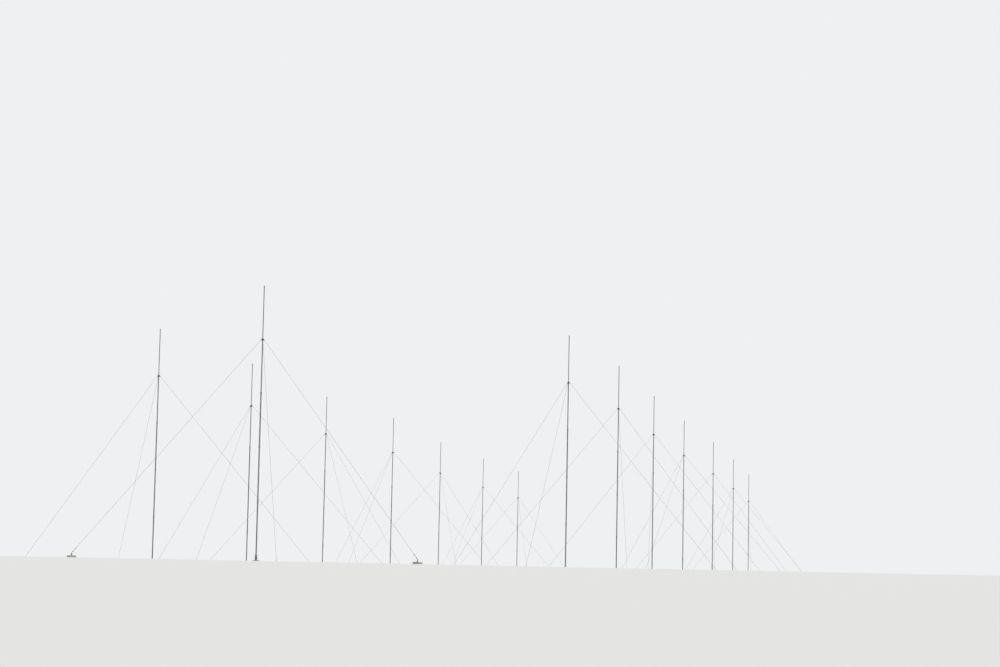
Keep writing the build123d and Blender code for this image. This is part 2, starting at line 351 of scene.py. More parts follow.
def addNode(tree, kind, values=None, **settings):
    node = tree.nodes.new(kind)
    for key, value in settings.items():
        setattr(node, key, value)
    for key, value in (values or {}).items():
        node.inputs[key].default_value = value
    return node


def wire(tree, *links):
    # each link runs from an output of a node to an input of another
    for source, output, target, label in links:
        tree.links.new(source.outputs[output], target.inputs[label])


def makePatches():
    # soft-edged patches, as oxide, damp and old paint lie
    group, given, result = makeGroup("patches", {"Scale": 20.0, "Low": 0.4, "High": 0.6})
    noise = addNode(group, "ShaderNodeTexNoise", {"Detail": 7.0, "Roughness": 0.6})
    spread = addNode(group, "ShaderNodeMapRange")
    wire(
        group, (given, "Vector", noise, "Vector"), (given, "Scale", noise, "Scale"),
        (noise, "Fac", spread, "Value"), (given, "Low", spread, "From Min"),
        (given, "High", spread, "From Max"), (spread, "Result", result, "Mask"),
    )
    return group


def makeStreaks():
    # long marks that run with the height, from drawing and from rain
    group, given, result = makeGroup("streaks", {"Scale": 600.0, "Stretch": 0.03})
    split = addNode(group, "ShaderNodeSeparateXYZ")
    shrink = addNode(group, "ShaderNodeMath", operation="MULTIPLY")
    merge = addNode(group, "ShaderNodeCombineXYZ")
    noise = addNode(group, "ShaderNodeTexNoise", {"Detail": 4.0, "Roughness": 0.55})
    wire(
        group, (given, "Vector", split, "Vector"), (split, "X", merge, "X"),
        (split, "Y", merge, "Y"), (split, "Z", shrink, 0), (given, "Stretch", shrink, 1),
        (shrink, "Value", merge, "Z"), (merge, "Vector", noise, "Vector"),
        (given, "Scale", noise, "Scale"), (noise, "Fac", result, "Mask"),
    )
    return group


def makeEdgeWear():
    # worn outer edges, broken up so that they don't look drawn on
    group, given, result = makeGroup("edgeWear", {"Scale": 900.0})
    shape = addNode(group, "ShaderNodeNewGeometry")
    edge = addNode(group, "ShaderNodeMapRange", {"From Min": 0.58, "From Max": 0.72})
    noise = addNode(group, "ShaderNodeTexNoise", {"Detail": 5.0, "Roughness": 0.7})
    gaps = addNode(group, "ShaderNodeMapRange", {"From Min": 0.42, "From Max": 0.6})
    both = addNode(group, "ShaderNodeMath", operation="MULTIPLY")
    wire(
        group, (shape, "Pointiness", edge, "Value"), (given, "Vector", noise, "Vector"),
        (given, "Scale", noise, "Scale"), (noise, "Fac", gaps, "Value"), (edge, "Result", both, 0),
        (gaps, "Result", both, 1), (both, "Value", result, "Mask"),
    )
    return group


def makeSplash():
    # soil splashed up by rain, fading with height above the ground
    group, given, result = makeGroup("groundSplash", {"Height": 0.03})
    split = addNode(group, "ShaderNodeSeparateXYZ")
    noise = addNode(group, "ShaderNodeTexNoise", {"Scale": 160.0, "Detail": 6.0, "Roughness": 0.65})
    wander = addNode(group, "ShaderNodeMath", {1: 0.02}, operation="MULTIPLY")
    lower = addNode(group, "ShaderNodeMath", operation="ADD")
    fade = addNode(group, "ShaderNodeMapRange", {"From Min": 0.008, "To Min": 1.0, "To Max": 0.0})
    wire(
        group, (given, "Vector", split, "Vector"), (given, "Vector", noise, "Vector"),
        (noise, "Fac", wander, 0), (split, "Z", lower, 0), (wander, "Value", lower, 1),
        (lower, "Value", fade, "Value"), (given, "Height", fade, "From Max"),
        (fade, "Result", result, "Mask"),
    )
    return group


patches = makePatches()
streaks = makeStreaks()
edgeWear = makeEdgeWear()
groundSplash = makeSplash()


# Putting a material together

def startMaterial(name, values):
    # the shader's plain numbers are set here, and the object coordinates made ready
    material = bpy.data.materials.new(name)
    material.use_nodes = True
    tree = material.node_tree
    for label, value in values.items():
        tree.nodes["Principled BSDF"].inputs[label].default_value = value
    tree.nodes.new("ShaderNodeTexCoord").name = "place"
    return material, tree


def useEffect(tree, group, values):
    node = tree.nodes.new("ShaderNodeGroup")
    node.node_tree = group
    for label, value in values.items():
        node.inputs[label].default_value = value
    wire(tree, (tree.nodes["place"], "Object", node, "Vector"))
    return node.outputs["Mask"]


def useCells(tree, scale):
    # cells of a size, with a random tone for each
    cells = addNode(tree, "ShaderNodeTexVoronoi", {"Scale": scale})
    tone = addNode(tree, "ShaderNodeRGBToBW")
    wire(tree, (tree.nodes["place"], "Object", cells, "Vector"), (cells, "Color", tone, "Color"))
    return cells.outputs["Distance"], tone.outputs["Val"]


def blendColours(tree, mask, first, second, share=1):
    # from the first colour to the second with the mask, or by a share of it
    if share < 1:
        mask = calculate(tree, "MULTIPLY", mask, share)
    mix = addNode(tree, "ShaderNodeMix", data_type="RGBA")
    tree.links.new(mask, mix.inputs["Factor"])
    for socket, colour in ((mix.inputs[6], first), (mix.inputs[7], second)):
        if isinstance(colour, tuple):
            socket.default_value = (*colour, 1)
        else:
            tree.links.new(colour, socket)
    return mix.outputs[2]


def remap(tree, value, low, high, fromLow=0.0, fromHigh=1.0):
    limits = {"From Min": fromLow, "From Max": fromHigh, "To Min": low, "To Max": high}
    node = addNode(tree, "ShaderNodeMapRange", limits)
    tree.links.new(value, node.inputs["Value"])
    return node.outputs["Result"]


def calculate(tree, operation, first, second):
    node = addNode(tree, "ShaderNodeMath", operation=operation)
    for socket, value in zip(node.inputs, (first, second)):
        if isinstance(value, (int, float)):
            socket.default_value = value
        else:
            tree.links.new(value, socket)
    return node.outputs["Value"]


def feed(tree, label, value):
    tree.links.new(value, tree.nodes["Principled BSDF"].inputs[label])


def feedSurface(tree, colour, mask, roughness):
    # the roughness runs from its low to its high value with the mask
    feed(tree, "Base Color", colour)
    feed(tree, "Roughness", remap(tree, mask, *roughness))


def addBump(tree, height, distance, strength):
    node = addNode(tree, "ShaderNodeBump", {"Strength": strength, "Distance": distance})
    tree.links.new(height, node.inputs["Height"])
    feed(tree, "Normal", node.outputs["Normal"])


# Materials, each with its colours and the range of its roughness

aluminium = {
    "clean": (0.14, 0.145, 0.151), "oxidised": (0.26, 0.265, 0.27), "drawn": (0.205, 0.21, 0.215),
    "spots": (0.09, 0.09, 0.088), "roughness": (0.38, 0.64),
}
alloy = {
    "skin": (0.235, 0.24, 0.245), "oxidised": (0.32, 0.324, 0.328), "grime": (0.13, 0.127, 0.122),
    "worn": (0.4, 0.4, 0.4), "roughness": (0.46, 0.66),
}
paintedSteel = {
    "paint": (0.02, 0.021, 0.022), "faded": (0.035, 0.036, 0.037), "rust": (0.06, 0.031, 0.018),
    "bare": (0.12, 0.117, 0.112), "roughness": (0.42, 0.58),
}
zinc = {
    "dark": (0.2, 0.21, 0.22), "light": (0.33, 0.34, 0.35), "bloom": (0.46, 0.46, 0.45),
    "rubbed": (0.5, 0.5, 0.5), "soil": (0.17, 0.13, 0.09), "roughness": (0.34, 0.66),
}
boltZinc = {
    "bright": (0.36, 0.36, 0.35), "dull": (0.22, 0.22, 0.22), "rust": (0.14, 0.06, 0.03),
    "roughness": (0.3, 0.55),
}
porcelain = {
    "deep": (0.1, 0.032, 0.015), "thin": (0.17, 0.06, 0.028), "dust": (0.3, 0.24, 0.19),
    "roughness": (0.12, 0.34),
}
cast = {
    "dry": (0.42, 0.41, 0.385), "damp": (0.3, 0.295, 0.28), "sand": (0.52, 0.5, 0.46),
    # the hole colour is painted shade inside the air holes
    "hole": (0.17, 0.163, 0.15), "soil": (0.2, 0.155, 0.11), "roughness": (0.82, 0.95),
}
jacket = {
    # the lay colour is a painted sheen on the raised strands of the rope
    "black": (0.012, 0.012, 0.013), "dusty": (0.03, 0.029, 0.028), "layAndSheen": (0.05, 0.05, 0.05),
    "roughness": (0.6, 0.85),
}


def makeMastAluminium():
    material, tree = startMaterial("weatheredAluminium", {"Metallic": 0.55})
    drawn = useEffect(tree, streaks, {"Scale": 900.0, "Stretch": 0.015})
    oxide = useEffect(tree, patches, {"Scale": 34.0, "Low": 0.4, "High": 0.66})
    spots = useEffect(tree, patches, {"Scale": 650.0, "Low": 0.6, "High": 0.72})
    colour = blendColours(tree, oxide, aluminium["clean"], aluminium["oxidised"])
    lines = remap(tree, drawn, 0.0, 0.6, 0.35, 0.65)
    colour = blendColours(tree, lines, colour, aluminium["drawn"])
    colour = blendColours(tree, spots, colour, aluminium["spots"], 0.4)
    feedSurface(tree, colour, oxide, aluminium["roughness"])
    addBump(tree, drawn, 0.00006, 0.35)
    return material


def makeCastAlloy():
    material, tree = startMaterial("castAlloy", {"Metallic": 0.45})
    oxide = useEffect(tree, patches, {"Scale": 60.0, "Low": 0.36, "High": 0.68})
    grime = useEffect(tree, patches, {"Scale": 240.0, "Low": 0.56, "High": 0.74})
    grain = useEffect(tree, patches, {"Scale": 1600.0, "Low": 0.25, "High": 0.75})
    worn = useEffect(tree, edgeWear, {"Scale": 1200.0})
    colour = blendColours(tree, oxide, alloy["skin"], alloy["oxidised"])
    colour = blendColours(tree, grime, colour, alloy["grime"], 0.45)
    colour = blendColours(tree, worn, colour, alloy["worn"], 0.6)
    feedSurface(tree, colour, oxide, alloy["roughness"])
    addBump(tree, grain, 0.00008, 0.35)
    return material


def makeDarkSteel():
    material, tree = startMaterial("darkPaintedSteel", {"Metallic": 0.15})
    faded = useEffect(tree, patches, {"Scale": 120.0, "Low": 0.34, "High": 0.72})
    rust = useEffect(tree, patches, {"Scale": 420.0, "Low": 0.64, "High": 0.74})
    chips = useEffect(tree, patches, {"Scale": 900.0, "Low": 0.69, "High": 0.72})
    grain = useEffect(tree, patches, {"Scale": 1500.0, "Low": 0.2, "High": 0.8})
    colour = blendColours(tree, faded, paintedSteel["paint"], paintedSteel["faded"])
    colour = blendColours(tree, rust, colour, paintedSteel["rust"], 0.6)
    colour = blendColours(tree, chips, colour, paintedSteel["bare"])
    feedSurface(tree, colour, faded, paintedSteel["roughness"])
    addBump(tree, grain, 0.00008, 0.3)
    return material


def makeGalvanised():
    material, tree = startMaterial("galvanisedSteel", {"Metallic": 0.7})
    crystal = useCells(tree, 900.0)[1]
    bloom = useEffect(tree, patches, {"Scale": 90.0, "Low": 0.5, "High": 0.68})
    worn = useEffect(tree, edgeWear, {"Scale": 1500.0})
    soil = useEffect(tree, groundSplash, {"Height": 0.05})
    colour = blendColours(tree, crystal, zinc["dark"], zinc["light"])
    colour = blendColours(tree, bloom, colour, zinc["bloom"], 0.6)
    colour = blendColours(tree, worn, colour, zinc["rubbed"], 0.5)
    colour = blendColours(tree, soil, colour, zinc["soil"], 0.5)
    feedSurface(tree, colour, bloom, zinc["roughness"])
    addBump(tree, crystal, 0.00005, 0.25)
    return material


def makeBoltSteel():
    material, tree = startMaterial("zincPlatedBolts", {"Metallic": 0.8})
    dull = useEffect(tree, patches, {"Scale": 500.0, "Low": 0.4, "High": 0.65})
    rust = useEffect(tree, patches, {"Scale": 900.0, "Low": 0.63, "High": 0.72})
    colour = blendColours(tree, dull, boltZinc["bright"], boltZinc["dull"])
    colour = blendColours(tree, rust, colour, boltZinc["rust"])
    feedSurface(tree, colour, dull, boltZinc["roughness"])
    return material


def makeGlaze():
    material, tree = startMaterial("glazedPorcelain", {"Coat Weight": 0.8, "Coat Roughness": 0.06})
    pooled = useEffect(tree, patches, {"Scale": 160.0, "Low": 0.35, "High": 0.7})
    dust = useEffect(tree, streaks, {"Scale": 500.0, "Stretch": 0.2})
    colour = blendColours(tree, pooled, porcelain["deep"], porcelain["thin"])
    colour = blendColours(tree, remap(tree, dust, -0.12, 0.2), colour, porcelain["dust"])
    feedSurface(tree, colour, dust, porcelain["roughness"])
    return material


def makeConcrete():
    # only some of the cells hold an air hole, and the holes differ in size
    material, tree = startMaterial("castConcrete", {"Metallic": 0.0})
    stain = useEffect(tree, patches, {"Scale": 28.0, "Low": 0.36, "High": 0.66})
    grit = useEffect(tree, patches, {"Scale": 700.0, "Low": 0.35, "High": 0.65})
    soil = useEffect(tree, groundSplash, {"Height": 0.024})
    distance, lot = useCells(tree, 330.0)
    away = calculate(tree, "ADD", distance, calculate(tree, "MULTIPLY", lot, 0.75))
    solid = remap(tree, away, 0.0, 1.0, 0.2, 0.34)
    colour = blendColours(tree, stain, cast["dry"], cast["damp"])
    colour = blendColours(tree, grit, colour, cast["sand"], 0.35)
    # the air holes are painted darker, as the shade inside them
    colour = blendColours(tree, solid, cast["hole"], colour)
    colour = blendColours(tree, soil, colour, cast["soil"], 0.75)
    feedSurface(tree, colour, grit, cast["roughness"])
    addBump(tree, calculate(tree, "MULTIPLY", solid, remap(tree, grit, 0.7, 1.0)), 0.0006, 0.5)
    return material


def makeRopeJacket():
    # the lay runs slantwise round the rope, so it follows the piece's own map
    material, tree = startMaterial("ropeJacket", {"Sheen Weight": 0.15})
    slant = addNode(tree, "ShaderNodeMapping", {"Scale": (2.0, 420.0, 1.0)})
    layAndSheen = addNode(tree, "ShaderNodeTexWave", {"Scale": 0.5}, bands_direction="DIAGONAL")
    wire(tree, (tree.nodes["place"], "UV", slant, "Vector"), (slant, "Vector", layAndSheen, "Vector"))
    dust = useEffect(tree, patches, {"Scale": 60.0, "Low": 0.4, "High": 0.7})
    colour = blendColours(tree, dust, jacket["black"], jacket["dusty"])
    # the raised strands of the lay are painted lighter and the grooves between them darker, as
    # painted sheen and painted shade
    colour = blendColours(tree, remap(tree, layAndSheen.outputs["Fac"], 0.0, 0.35), colour, jacket["layAndSheen"])
    feedSurface(tree, colour, dust, jacket["roughness"])
    addBump(tree, layAndSheen.outputs["Fac"], 0.00006, 0.6)
    return material


mastAluminium = makeMastAluminium()
castAlloy = makeCastAlloy()
darkSteel = makeDarkSteel()
galvanised = makeGalvanised()
boltSteel = makeBoltSteel()
glaze = makeGlaze()
concrete = makeConcrete()
ropeJacket = makeRopeJacket()
print("materials made")


# Bolts. A piece gives the nut's radius and how far the thread stands out, and the rest are
# shares of that radius. There are hundreds, so they have few faces.
hexBolt = {
    "washer": 1.3, "washerRise": 0.22, "washerTop": 1.261, "washerSides": 12,
    "nutRise": 0.85, "nutShoulder": 0.132, "nutTop": 0.86,
    "stud": 0.55, "studPoint": 0.4125, "studShoulder": 0.8, "studSides": 7,
}


def makeHexBolt(name, radius, studRise):
    # a washer, a nut with its corners taken off and the end of the thread
    size = {key: radius * share for key, share in hexBolt.items()}
    rise, top, stud = size["washerRise"], size["washerRise"] + size["nutRise"], size["stud"]
    ring = turnPiece("washer", [
        (0, size["washer"]), (rise, size["washerTop"]),
    ], hexBolt["washerSides"])
    nut = turnPiece("nut", [
        (rise, radius), (top - size["nutShoulder"], radius), (top, size["nutTop"]),
    ], 6)
    shoulder = top + studRise * hexBolt["studShoulder"]
    end = turnPiece("stud", [
        (top, stud), (shoulder, stud), (top + studRise, size["studPoint"]),
    ], hexBolt["studSides"])
    return smooth(joinPieces(name, [ring, nut, end]), 25)


# Footings and anchor blocks
blocks = {
    "footing": {"width": 70, "height": 25, "edge": 2.0, "cuts": 7, "unevenness": 0.35},
    "anchor": {"width": 40, "height": 20, "edge": 1.5, "cuts": 5, "unevenness": 0.3},
    "lumps": 14,
}


def makeBlock(name, sizes):
    # cast in a box, so the top edges are rounded by a float and the sides aren't quite flat
    half = sizes["width"] / 2
    piece = boxPiece(name, (-half, -half, 0), (half, half, sizes["height"]))
    top = sizes["height"] - tiny
    pickEdges(piece, lambda a, b: (a.z > top and b.z > top) or abs(a.z - b.z) > tiny)
    bpy.ops.mesh.bevel(offset=sizes["edge"], segments=2)
    endEdit()
    pickVerts(piece, lambda co: True)
    bpy.ops.mesh.subdivide(number_cuts=sizes["cuts"])
    endEdit()
    cloud = bpy.data.textures.new(name + "Cast", "CLOUDS")
    cloud.noise_scale = blocks["lumps"]
    uneven = piece.modifiers.new("uneven", "DISPLACE")
    uneven.texture = cloud
    uneven.strength = sizes["unevenness"]
    uneven.mid_level = 1.0  # it only moves inwards
    selectOnly(piece)
    bpy.ops.object.modifier_apply(modifier=uneven.name)
    return smooth(piece)


setOut(
    "Footings", makeBlock("footing", blocks["footing"]), concrete,
    how="square", lead=["footing"], rows=["footings"],
)
setOut(
    "AnchorBlocks", makeBlock("anchorBlock", blocks["anchor"]), concrete,
    inner=anchorSpots, lead=["anchor_blocks"], rows=["anchor_blocks"],
)


# Base plate with the insulator's seat
basePlate = {
    "half": 18, "corner": 2.5, "edge": 0.25, "boltReach": 13.5, "bolt": (1.9, 2.6),
    # height above the plate and radius, with the weld at its foot
    "seat": [(0, 8.4), (0.35, 8.15), (0.85, 7.65), (1, 7.5), (2.7, 7.5), (3, 7.2)],
}


def makeBasePlate():
    low, high, half = levels["footingTop"], levels["plateTop"], basePlate["half"]
    plate = boxPiece("basePlate", (-half, -half, low), (half, half, high))
    roundUprights(plate, basePlate["corner"], 4)
    soften(plate, basePlate["edge"], 2, 60)
    ring = turnPiece("seat", lifted(basePlate["seat"], high), 40)
    return smooth(joinPieces("basePlate", [plate, ring]))


plateCorners = [
    Matrix.Translation((x * basePlate["boltReach"], y * basePlate["boltReach"], levels["plateTop"]))
    for x in (-1, 1) for y in (-1, 1)
]
setOut(
    "BasePlates", makeBasePlate(), galvanised,
    how="square", lead=["base_plate"], rows=["base_fittings"],
)
setOut(
    "BaseBolts", makeHexBolt("baseBolt", *basePlate["bolt"]), boltSteel,
    inner=plateCorners, how="square",
)

# Insulator with its rain skirt, and the metal caps cemented on its ends
insulator = {
    "post": 5.5, "inCap": 3,
    # height from the middle and radius
    "skirt": [
        (-0.5, 5.5), (-0.2, 5.75), (-1.9, 7.9), (-2.3, 8.2), (-2.5, 8.55), (-2.4, 8.95),
        (-2.0, 9.3), (-1.5, 9.46), (-1.0, 9.4), (-0.5, 9.1), (1.6, 6.4), (2.2, 5.9), (2.9, 5.6),
        (3.6, 5.5),
    ],
    # height from the end and radius
    "cap": [(0, 6.3), (0.7, 6.65), (1.1, 6.3), (3.8, 6.3), (4.2, 5.9)],
}


def makeInsulator():
    low, high = levels["seatTop"], levels["insulatorTop"]
    inCap, post = insulator["inCap"], insulator["post"]
    skirt = lifted(insulator["skirt"], (low + high) / 2)
    steps = [(low + inCap, post), *skirt, (high - inCap, post)]
    return smooth(turnPiece("insulator", steps, 48), 60)


def makeFerrules():
    lower = turnPiece("ferrule", lifted(insulator["cap"], levels["seatTop"]), 40)
    upper = turnPiece("ferrule", lifted(reversed(insulator["cap"]), levels["insulatorTop"], -1), 40)
    return smooth(joinPieces("ferrules", [lower, upper]))


setOut(
    "Insulators", makeInsulator(), glaze,
    how="square", lead=["base_insulator"], rows=["base_insulators"],
)
setOut("InsulatorFerrules", makeFerrules(), galvanised, how="square")

# Mast foot, a flange with ribs round a socket
foot = {
    "socket": 5.15, "ribReach": 7.95, "ribHalf": 0.45, "ribTop": 64.6, "ribToe": 1.2, "ribs": 4,
    "flangeBolt": (0.75, 0.8), "flangeBoltReach": 6.75,
    "sideBolt": (0.8, 0.5), "sideBoltLevel": 61.5,
    # height above the insulator and radius
    "steps": [
        (0, 8.2), (0.3, 8.5), (1.7, 8.5), (2, 8.2), (2, 5.85), (2.35, 5.55), (2.7, 5.15),
        (13.5, 5.15), (14, 4.65),
    ],
}


def makeRib():
    # a box with its outer corner cut off on the slant
    low, high, reach = levels["flangeTop"], foot["ribTop"], foot["ribReach"]
    half, wall, toe = foot["ribHalf"], foot["socket"], foot["ribToe"]
    rib = boxPiece("rib", (wall - 0.6, -half, low - 0.2), (reach, half, high))  # let into both
    pickVerts(rib, lambda co: True)
    bpy.ops.mesh.bisect(
        plane_co=(reach, 0, low + toe), plane_no=(high - low - toe, 0, reach - wall),
        use_fill=True, clear_outer=True, threshold=tiny,
    )
    endEdit()
    soften(rib, 0.12, 1, 50)
    return rib


def makeMastFoot():
    body = turnPiece("mastFoot", lifted(foot["steps"], levels["insulatorTop"]), 48)
    ribs = gather("ribs", makeRib(), aroundMast(foot["ribs"]))
    return smooth(joinPieces("mastFoot", [body, ribs]))


setOut("MastFeet", makeMastFoot(), galvanised, lead=["mast_foot"])
onFlange = Matrix.Translation((foot["flangeBoltReach"], 0, levels["flangeTop"]))
setOut(
    "FlangeBolts", makeHexBolt("flangeBolt", *foot["flangeBolt"]), boltSteel,
    inner=[turn @ onFlange for turn in aroundMast(4, 45)],
)
onSocket = outwards(foot["socket"], foot["sideBoltLevel"], 0.1)
setOut(
    "FootBolts", makeHexBolt("footBolt", *foot["sideBolt"]), boltSteel,
    inner=[turn @ onSocket for turn in aroundMast(2, 45)],
)


# Tubes from the foot up, and the pieces at their ends: sleeves on the three lower joints, the stay
# collar on the fourth, and the cap at the tip
tubes = {"radii": (3.8, 3.8, 3.8, 3.2, 2.55), "edge": 0.15, "overlap": 1, "sides": 32}
sleeves = {
    "radius": 4.9, "edge": 0.5, "halves": (13, 7, 7), "groove": 0.18, "grooveHalf": 0.3,
    "bolt": (0.8, 0.4),
    # heights of the bolt pairs as shares of the half height, and their turns on the two tubes
    "longPairs": (-0.7, -0.3, 0.3, 0.7), "shortPairs": (-0.5, 0.5),
    "upperTurn": 30, "lowerTurn": 120,
}
collar = {
    "radius": 5.5, "half": 6, "edge": 0.8, "lugHalf": 0.8, "lugHeight": 5.2, "lugRoot": 0.4,
    "bead": 0.4, "bolt": (0.75, 0.35), "boltRise": 2.6,
}
cap = {
    "depth": 4,
    # height from the tip's level and radius
    "steps": [(-4, 2.98), (-3.88, 3.1), (0.7, 3.1), (1.25, 2.9), (1.65, 2.5), (1.9, 1.9), (2, 1.1)],
}


def jointLevel(number):
    return levels["flangeTop"] + number * levels["section"]


def makeTubes():
    # each runs from the fitting below it to the one above, and a little into both
    pieces, halves = [], (*sleeves["halves"], collar["half"])
    joints = [(jointLevel(number), half) for number, half in enumerate(halves, 1)]
    lows = [levels["socketTop"], *(level + half for level, half in joints)]
    highs = [*(level - half for level, half in joints), levels["tip"] - cap["depth"]]
    edge, overlap = tubes["edge"], tubes["overlap"]
    for low, high, radius in zip(lows, highs, tubes["radii"]):
        low, high, thin = low - overlap, high + overlap, radius - edge
        steps = [(low, thin), (low + edge, radius), (high - edge, radius), (high, thin)]
        pieces.append(turnPiece("tube", steps, tubes["sides"]))
    return smooth(joinPieces("tubes", pieces), 40)


def makeSleeves():
    # each has a turned line where the two tubes meet inside it
    pieces = []
    radius, edge, wide = sleeves["radius"], sleeves["edge"], sleeves["grooveHalf"]
    bottom = radius - sleeves["groove"]
    for number, half in enumerate(sleeves["halves"], 1):
        level = jointLevel(number)
        pieces.append(turnPiece("sleeve", [
            (level - half, radius - edge), (level - half + edge, radius), (level - wide, radius),
            (level - wide / 2, bottom), (level + wide / 2, bottom), (level + wide, radius),
            (level + half - edge, radius), (level + half, radius - edge),
        ], 40))
    return smooth(joinPieces("sleeves", pieces))


def sleeveBoltPlaces():
    places = []
    for number, half in enumerate(sleeves["halves"], 1):
        for share in sleeves["longPairs" if number == 1 else "shortPairs"]:
            spot = outwards(sleeves["radius"], jointLevel(number) + share * half)
            turns = aroundMast(2, sleeves["upperTurn" if share > 0 else "lowerTurn"])
            places += [turn @ spot for turn in turns]
    return places


def makeTipCap():
    return smooth(turnPiece("tipCap", lifted(cap["steps"], levels["tip"])), 35)


setOut(
    "Tubes", makeTubes(), mastAluminium,
    lead=["tube_1", "tube_2", "tube_3", "tube_4", "tube_5"], rows=["tubes"],
)
setOut(
    "Sleeves", makeSleeves(), castAlloy,
    lead=["couplings"], rows=["couplings"],
)
setOut(
    "SleeveBolts", makeHexBolt("sleeveBolt", *sleeves["bolt"]), boltSteel,
    inner=sleeveBoltPlaces(),
)
setOut("TipCaps", makeTipCap(), darkSteel, lead=["tip_cap"], rows=["tip_caps"])


# The drilled eye, the same on collar lugs, forks and anchor lugs
eye = {"radius": 1.6, "hole": 0.65, "edge": 0.12}


def finishEye(piece, half, at):
    # the round end of a lug, its hole and its softened edges
    piece = addEye(piece, eye["radius"], half, at)
    piece = drill(piece, eye["hole"], at)
    soften(piece, eye["edge"], 2, 40)
    return piece


# Stay collar, with a welded lug on each of its flats
def makeCollarBody():
    level, half, radius, edge = levels["collar"], collar["half"], collar["radius"], collar["edge"]
    body = turnPiece("collar", [
        (level - half, radius - edge), (level - half + edge, radius), (level + half - edge, radius),
        (level + half, radius - edge),
    ], 54)
    for turn in stayTurns:
        out = turn @ Vector((1, 0, 0))
        pickVerts(body, lambda co: True)
        bpy.ops.mesh.bisect(
            plane_co=out * stayLine["collarFlat"] + Vector((0, 0, level)), plane_no=out,
            use_fill=True, clear_outer=True, threshold=tiny,
        )
        endEdit()
    soften(body, 0.12, 1, 35)
    return body


def makeLug():
    # a plate that narrows to a drilled eye at the pin
    flat, level = stayLine["collarFlat"], levels["collar"]
    pinRadius = flat + stayLine["lugReach"]
    half, height, root = collar["lugHalf"], collar["lugHeight"], flat - collar["lugRoot"]
    plate = boxPiece("lug", (root, -half, level - height), (pinRadius, half, level + height))
    at = (pinRadius, 0, level)
    resizeWhere(plate, lambda co: co.x > flat, (1, 1, eye["radius"] / height), at)
    return finishEye(plate, half, at)


def makeBead():
    # the weld at a lug's root, which slopes off to the lug and the collar
    flat, level, bead = stayLine["collarFlat"], levels["collar"], collar["bead"]
    wide, tall = collar["lugHalf"] + bead, collar["lugHeight"] + bead * 0.4
    piece = boxPiece("bead", (flat - 0.1, -wide, level - tall), (flat + bead, wide, level + tall))
    narrow = (1, (wide - bead * 0.7) / wide, 0.96)
    resizeWhere(piece, lambda co: co.x > flat, narrow, (flat + bead, 0, level))
    soften(piece, 0.1, 2, 30)
    return piece


def makeCollar():
    lugs = gather("lugs", makeLug(), stayTurns)
    beads = gather("beads", makeBead(), stayTurns)
    return smooth(joinPieces("collar", [makeCollarBody(), lugs, beads]))


setOut(
    "Collars", makeCollar(), darkSteel,
    lead=["stay_collar", "collar_lugs"], rows=["stay_collars", "collar_lugs"],
)
collarBolts = [
    turn @ outwards(collar["radius"], levels["collar"] + rise)
    for turn in aroundMast(3, 60) for rise in (-collar["boltRise"], collar["boltRise"])
]
setOut(
    "CollarBolts", makeHexBolt("collarBolt", *collar["bolt"]), boltSteel,
    inner=collarBolts,
)


# Forks and sockets of the stays, made along X from the pin
fork = {"length": 4.2, "half": 1.8, "slotHalf": 0.9, "slotEnd": 3.0, "edge": 0.16}
socket = {
    "length": 8,
    # distance from the start and radius, with the marks of three pressings
    "steps": [
        (-0.4, 1.12), (0, 1.4), (1.6, 1.4), (1.8, 1.23), (2.6, 1.2), (2.8, 1.33), (3.4, 1.29),
        (3.6, 1.12), (4.4, 1.09), (4.6, 1.2), (5.2, 1.15), (5.4, 0.98), (6.2, 0.94), (6.4, 1.01),
        (7.5, 0.82), (7.9, 0.7), (8, 0.6),
    ],
}


def makeFork():
    half, radius, gap = fork["half"], eye["radius"], fork["slotHalf"]
    body = boxPiece("fork", (0, -half, -radius), (fork["length"], half, radius))
    body = addEye(body, radius, half, (0, 0, 0))
    slot = boxPiece("slot", (-4, -gap, -3), (fork["slotEnd"], gap, 3))  # it reaches past the fork
    body = combine(body, slot)
    body = drill(body, eye["hole"], (0, 0, 0))
    soften(body, fork["edge"], 2, 40)
    return body


def makeSocket(start):
    return turnPiece("socket", lifted(socket["steps"], start), 20, "X")


def makeStayFork():
    return smooth(joinPieces("stayFork", [makeFork(), makeSocket(fork["length"])]))


# Pins, with a head on one side and a split ring through the other end
pin = {
    "radius": 0.6, "half": 2.3, "head": 1.05, "headRise": 0.4, "edge": 0.12,
    "ring": 0.42, "wire": 0.09, "ringPlace": (0, 2.0, 0.75), "ringStretch": (1.5, 0.75, 1, 1),
}


def makePin():
    half, radius, head, edge = pin["half"], pin["radius"], pin["head"], pin["edge"]
    shank = turnPiece("pin", [
        (-half, head - edge), (-half + edge, head), (-half + pin["headRise"], head),
        (-half + pin["headRise"], radius), (half - edge, radius), (half, radius - edge),
    ], 18, "Y")
    deselect()
    bpy.ops.mesh.primitive_torus_add(
        major_radius=pin["ring"], minor_radius=pin["wire"], major_segments=14, minor_segments=5,
        location=pin["ringPlace"],
    )
    ring = bpy.context.object
    upright = Matrix.Rotation(math.radians(90), 4, "Y") @ Matrix.Diagonal(pin["ringStretch"])
    ring.matrix_world = ring.matrix_world @ upright
    applyPlace(ring)
    return smooth(joinPieces("pin", [shank, ring]), 40)


# Stays, each one straight rope from socket to socket
rope = {"radius": 0.5, "sides": 12, "inSocket": 0.4, "edge": 0.1}


def makeStayRope():
    tight = rope["inSocket"]
    low = fork["length"] + socket["length"] - tight
    lowerFitting = screw["start"] + screw["length"] + screw["studShow"] + socket["length"]
    high = pinDistance - lowerFitting + tight
    deselect()
    middle = (0, 0, (low + high) / 2)
    bpy.ops.mesh.primitive_cylinder_add(
        vertices=rope["sides"], radius=rope["radius"], depth=high - low, location=middle
    )
    piece = bpy.context.object
    piece.name = "stay"
    applyPlace(piece)
    pickEdges(piece, lambda a, b: abs(a.z - b.z) < tiny)
    bpy.ops.mesh.bevel(offset=rope["edge"], segments=1)
    endEdit()
    layAlong(piece, "X")
    return smooth(piece, 50)


